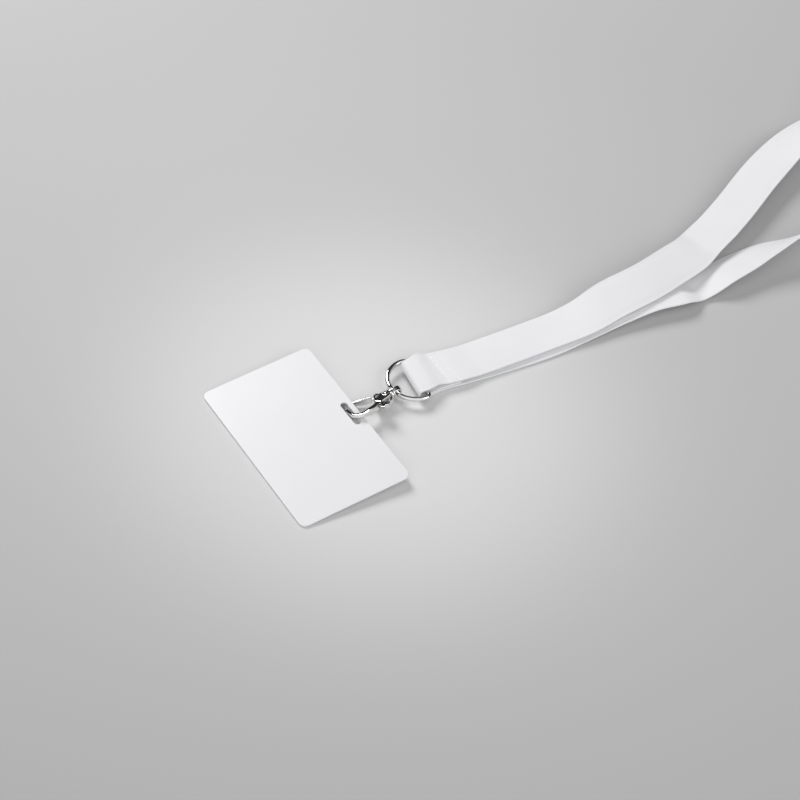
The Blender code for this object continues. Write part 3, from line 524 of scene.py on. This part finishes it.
def webbing_route():
    """The strip's middle line and width vector from its lower end, round the loop and fold."""
    rise = BAR_TOP - seam_level(2)
    lower_seam = [seam_station(s, y, seam_level(0)) for s, y in LOWER_SEAM]
    upper_seam = [seam_station(s, y, seam_level(2) + r * rise, t) for s, y, r, t in UPPER_SEAM]
    return_ply = [seam_station(s, y, seam_level(1)) for s, y in RETURN_SEAM]
    legs = leg_stations(LOWER_LEG) + leg_stations(UPPER_LEG)[::-1]
    long_run = smooth_through(lower_seam + legs + upper_seam[::-1], FINE_STEP)
    return long_run + fold_stations() + smooth_through(return_ply, FINE_STEP)


# Webbing's section: closer columns by the selvedge, which is proud, and the groove beside it.
# Its beads, and the stretch each way over which its width vectors are averaged.
HALF_COLUMN_SHARES = (0, 0.02, 0.03, 0.075, 0.09, 0.22, 0.36, 0.5)
SELVEDGE = 0.9 * MM
GROOVE_END = 2.0 * MM
BEAD_PITCH = 1.3 * MM
BEAD_HEIGHT = 0.07 * MM
WIDTH_BLEND = 3.0 * MM
EDGE_ROUND = 0.42 * MM
EDGE_ANGLES = (60, 30, 0, -30, -60)
SKIN_DEPTH = 0.04 * MM
EDGE_DEPTH = 0.05 * MM
SELVEDGE_DEPTH = 0.03 * MM
GROOVE_DEPTH = 0.06 * MM


def strip_section(phase):
    """Points round the strip's section: its top face, right edge, underside and left edge."""
    half = WIDTH / 2
    bead = BEAD_HEIGHT * math.sin(phase)
    top = []
    for share in HALF_COLUMN_SHARES + tuple(1 - share for share in HALF_COLUMN_SHARES[-2::-1]):
        a = -half + EDGE_ROUND + (WIDTH - 2 * EDGE_ROUND) * share
        near_edge = min(a + half, half - a)
        b = THICKNESS / 2
        if near_edge < SELVEDGE:
            b += bead / 2 - SELVEDGE_DEPTH
        elif near_edge < GROOVE_END:
            b -= GROOVE_DEPTH
        top.append((a, b - SKIN_DEPTH))
    right = []
    reach = EDGE_ROUND - EDGE_DEPTH + bead
    depth = THICKNESS / 2 - EDGE_DEPTH
    for angle in EDGE_ANGLES:
        r = math.radians(angle)
        right.append((half - EDGE_ROUND + reach * math.cos(r), depth * math.sin(r)))
    left = [(-a, b) for a, b in right[::-1]]
    bottom = [(a, -b) for a, b in top[::-1]]
    return top + right + bottom + left


def filled(route):
    """The route with points added where two neighbours are far apart."""
    found = [route[0]]
    for a, b in zip(route, route[1:]):
        count = max(1, int((Vector(b[:3]) - Vector(a[:3])).length / (2 * FINE_STEP)) * 2)
        for k in range(1, count + 1):
            found.append(tuple(x + (y - x) * k / count for x, y in zip(a, b)))
    return found


def even_widths(widths, distances):
    """Width vectors averaged over a short stretch each way, so that the edges don't jump."""
    found = []
    first = 0
    last = len(widths) - 1
    for here in distances:
        while distances[first] < here - WIDTH_BLEND:
            first += 1
        total, weight = Vector((0, 0, 0)), 0
        j = first
        while j <= last and distances[j] <= here + WIDTH_BLEND:
            stretch = distances[min(j + 1, last)] - distances[max(j - 1, 0)]
            share = (1 - abs(distances[j] - here) / WIDTH_BLEND) * stretch
            total += widths[j] * share
            weight += share
            j += 1
        found.append(total / weight)
    return found


def make_webbing(material):
    route = filled(webbing_route())
    places = [Vector(point[:3]) for point in route]
    runs, widths, distances = [], [], [0.0]
    for i, point in enumerate(route):
        if i:
            distances.append(distances[-1] + (places[i] - places[i - 1]).length)
        run = (places[min(i + 1, len(places) - 1)] - places[max(i - 1, 0)]).normalized()
        across = Vector(point[3:]).normalized()
        runs.append(run)
        widths.append(across / math.sqrt(1 - across.dot(run) ** 2))
    widths = even_widths(widths, distances)
    sections, coords = [], []
    for place, run, across, distance in zip(places, runs, widths, distances):
        normal = run.cross(across).normalized()
        outline = strip_section(2 * math.pi * distance / BEAD_PITCH)
        sections.append([place + across * a + normal * b for a, b in outline])
        coords += [(a / MM, distance / MM) for a, _ in outline]
    piece = skinned("webbing", sections, material)
    layer = piece.data.uv_layers.new(name="strip")
    for loop in piece.data.loops:
        layer.data[loop.index].uv = coords[loop.vertex_index]
    return piece


def tidy(mesh):
    """Turns a mesh's faces outwards and shades it smooth up to its sharp edges."""
    maker = bmesh.new()
    maker.from_mesh(mesh)
    bmesh.ops.recalc_face_normals(maker, faces=maker.faces)
    maker.to_mesh(mesh)
    maker.free()
    mesh.shade_smooth()
    mesh.set_sharp_from_angle(angle=SHARP_ANGLE)


# Metal.
def finished(piece, material):
    """The piece with its modifiers applied, in this material and shaded smooth."""
    graph = bpy.context.evaluated_depsgraph_get()
    mesh = bpy.data.meshes.new_from_object(piece.evaluated_get(graph))
    piece.modifiers.clear()
    piece.data = mesh
    mesh.name = piece.name
    mesh.materials.clear()
    mesh.materials.append(material)
    mesh.shade_smooth()
    return piece


def copied(name, node):
    """A new piece with a CAD node's mesh, for the looks to work on."""
    piece = bpy.data.objects.new(name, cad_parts[node].data.copy())
    bpy.context.scene.collection.objects.link(piece)
    return piece


def softened(name, node, material):
    """A cast copy of a CAD node: the same shape with its edges melted a little."""
    piece = copied(name, node)
    maker = bmesh.new()
    maker.from_mesh(piece.data)
    bmesh.ops.remove_doubles(maker, verts=maker.verts, dist=WELD)
    maker.to_mesh(piece.data)
    maker.free()
    remesh = piece.modifiers.new("skin", "REMESH")
    remesh.mode = "VOXEL"
    remesh.voxel_size = CAST_VOXEL
    smooth = piece.modifiers.new("melt", "SMOOTH")
    smooth.factor = CAST_MELT_SHARE
    smooth.iterations = CAST_ROUNDS
    return finished(piece, material)


def make_gate_spring(material):
    """The coil behind the lever, its wire rounded."""
    piece = copied("gate_spring", "lever_spring")
    piece.modifiers.new("round", "SUBSURF").levels = 1
    return finished(piece, material)


def ring_corner(k, side):
    """A point of the wire's corner on one side, k steps from the bar."""
    angle = math.pi / 2 * k / RING_CORNER_STEPS
    x = RING_CORNER_RADIUS * (1 - math.cos(angle))
    y = RING_RADIUS - RING_CORNER_RADIUS + RING_CORNER_RADIUS * math.sin(angle)
    return Vector((x, side * y, 0))


def make_ring(material):
    """The D ring's wire: bar, corners, legs and half circle, round and fine."""
    half_bar = RING_RADIUS - RING_CORNER_RADIUS
    arc_middle = RING_CORNER_RADIUS + RING_LEG
    route = [Vector((0, half_bar * share, 0)) for share in RING_BAR_SHARES]
    route += [ring_corner(k, -1) for k in range(1, RING_CORNER_STEPS + 1)]
    for k in range(RING_ARC_STEPS + 1):
        angle = math.pi * k / RING_ARC_STEPS
        sine, cosine = math.sin(angle), math.cos(angle)
        route.append(Vector((arc_middle + RING_RADIUS * sine, -RING_RADIUS * cosine, 0)))
    route += [ring_corner(k, 1) for k in range(RING_CORNER_STEPS, 0, -1)]
    to_arc = Vector((-math.cos(RING_YAW), math.sin(RING_YAW), 0))
    along = Vector((-math.sin(RING_YAW), -math.cos(RING_YAW), 0))
    turn = Matrix((to_arc, along, to_arc.cross(along))).transposed().to_4x4()
    turn.translation = (RING_BAR_X, RING_CENTRE_Y, RING_BAR_Z)
    sections = []
    for i, point in enumerate(route):
        run = (route[(i + 1) % len(route)] - route[i - 1]).normalized()
        side = run.cross(UP)
        sections.append([
            turn @ (point + WIRE_RADIUS * (math.cos(a) * side + math.sin(a) * UP))
            for a in (2 * math.pi * k / RING_SIDES for k in range(RING_SIDES))
        ])
    return skinned("ring_wire", sections, material, closed=True)


def skinned(name, sections, material, closed=False):
    """A smooth skin over rings of points, closed in a loop or capped at its ends."""
    size = len(sections[0])
    rings = len(sections) if closed else len(sections) - 1
    faces = []
    for i in range(rings):
        one, two = i * size, (i + 1) % len(sections) * size
        for k in range(size):
            j = (k + 1) % size
            faces.append((one + k, one + j, two + j, two + k))
    if not closed:
        faces.append(tuple(range(size))[::-1])
        faces.append(tuple((len(sections) - 1) * size + k for k in range(size)))
    mesh = bpy.data.meshes.new(name)
    mesh.from_pydata([point for section in sections for point in section], [], faces)
    tidy(mesh)
    mesh.materials.append(material)
    piece = bpy.data.objects.new(name, mesh)
    bpy.context.scene.collection.objects.link(piece)
    return piece


def stitch_sections(start, end, level, normal):
    """Rings of points round one stitch, high in its middle and pulled down at its ends."""
    run = end - start
    side = run.normalized().cross(UP)
    found = []
    for k in range(STITCH_STEPS + 1):
        share = k / STITCH_STEPS
        arch = math.sin(math.pi * share)
        rise = THREAD_RADIUS * (STITCH_ARCH_SHARE * arch**0.5 - STITCH_SUNK_SHARE)
        middle = start.lerp(end, share) + UP * (level + normal * rise)
        radius = THREAD_RADIUS * (STITCH_END_RADIUS_SHARE + (1 - STITCH_END_RADIUS_SHARE) * arch)
        found.append([
            middle + radius * (math.cos(a) * side * STITCH_FLAT_SHARE + math.sin(a) * UP)
            for a in (2 * math.pi * j / STITCH_SIDES for j in range(STITCH_SIDES))
        ])
    return found


def make_stitches(name, level, normal, material):
    """A box of stitches through the seam, each one its own short arch, in one mesh."""
    middle_y = LOWER_SEAM[2][1] * WIDTH
    half = WIDTH / 2 - SEAM_SIDE_MARGIN
    rows = [RING_BAR_X + share * SEAM_LENGTH for share in STITCH_ROWS]
    box = ((0, -half), (1, -half), (1, half), (0, half))
    corners = [Vector((rows[i], middle_y + y, 0)) for i, y in box]
    parts = []
    for start, end in zip(corners, corners[1:] + corners[:1]):
        count = round((end - start).length / STITCH_PITCH)
        for k in range(count):
            a = start.lerp(end, (k + STITCH_END_SHARE) / count)
            b = start.lerp(end, (k + 1 - STITCH_END_SHARE) / count)
            rings = stitch_sections(a, b, level, normal)
            parts.append(skinned(f"{name}_{len(parts)}", rings, material))
    return joined(name, parts)


def joined(name, parts):
    """Several meshes made one object."""
    maker = bmesh.new()
    for part in parts:
        maker.from_mesh(part.data)
    piece = parts[0]
    maker.to_mesh(piece.data)
    maker.free()
    for part in parts[1:]:
        bpy.data.objects.remove(part)
    piece.name = piece.data.name = name
    return piece


def dress(node, material):
    """A CAD node that stays, in this material."""
    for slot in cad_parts[node].material_slots:
        slot.material = material


make_camera()
make_floor()
make_world()
make_lamp("key", KEY_PLACE, KEY_SIZE, KEY_POWER)
make_lamp("fill", FILL_PLACE, FILL_SIZE, FILL_POWER)

nickel = nickel_material("nickel_plate", *PLATE_FINISH)
wire = nickel_material("nickel_wire", *WIRE_FINISH)
steel = nickel_material("pin_steel", *PIN_FINISH)
spring = nickel_material("spring_steel", *SPRING_FINISH)

webbing = make_webbing(webbing_material())
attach(webbing, "lanyard")
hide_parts("lanyard_webbing")

for name, node, body in (
    ("hook_casting", "hook_body", "hook"),
    ("lever_casting", "hook_lever", "lever"),
    ("eye_casting", "swivel_eye", "swivel"),
):
    piece = softened(name, node, nickel)
    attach(piece, body)
    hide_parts(node)

ring = make_ring(wire)
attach(ring, "ring")
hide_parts("d_ring")

thread = thread_material()
top = seam_level(2) + THICKNESS / 2
for name, node, level, normal in (
    ("top_stitches", "needle_thread", top, 1),
    ("under_stitches", "bobbin_thread", SEAM_LIFT, -1),
):
    piece = make_stitches(name, level, normal, thread)
    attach(piece, "lanyard")
    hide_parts(node)

coil = make_gate_spring(spring)
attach(coil, "hook")
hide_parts("lever_spring")
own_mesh(coil)

dress("lever_pin", steel)
dress("badge_card", card_material())

bpy.context.scene.view_settings.view_transform = "Standard"
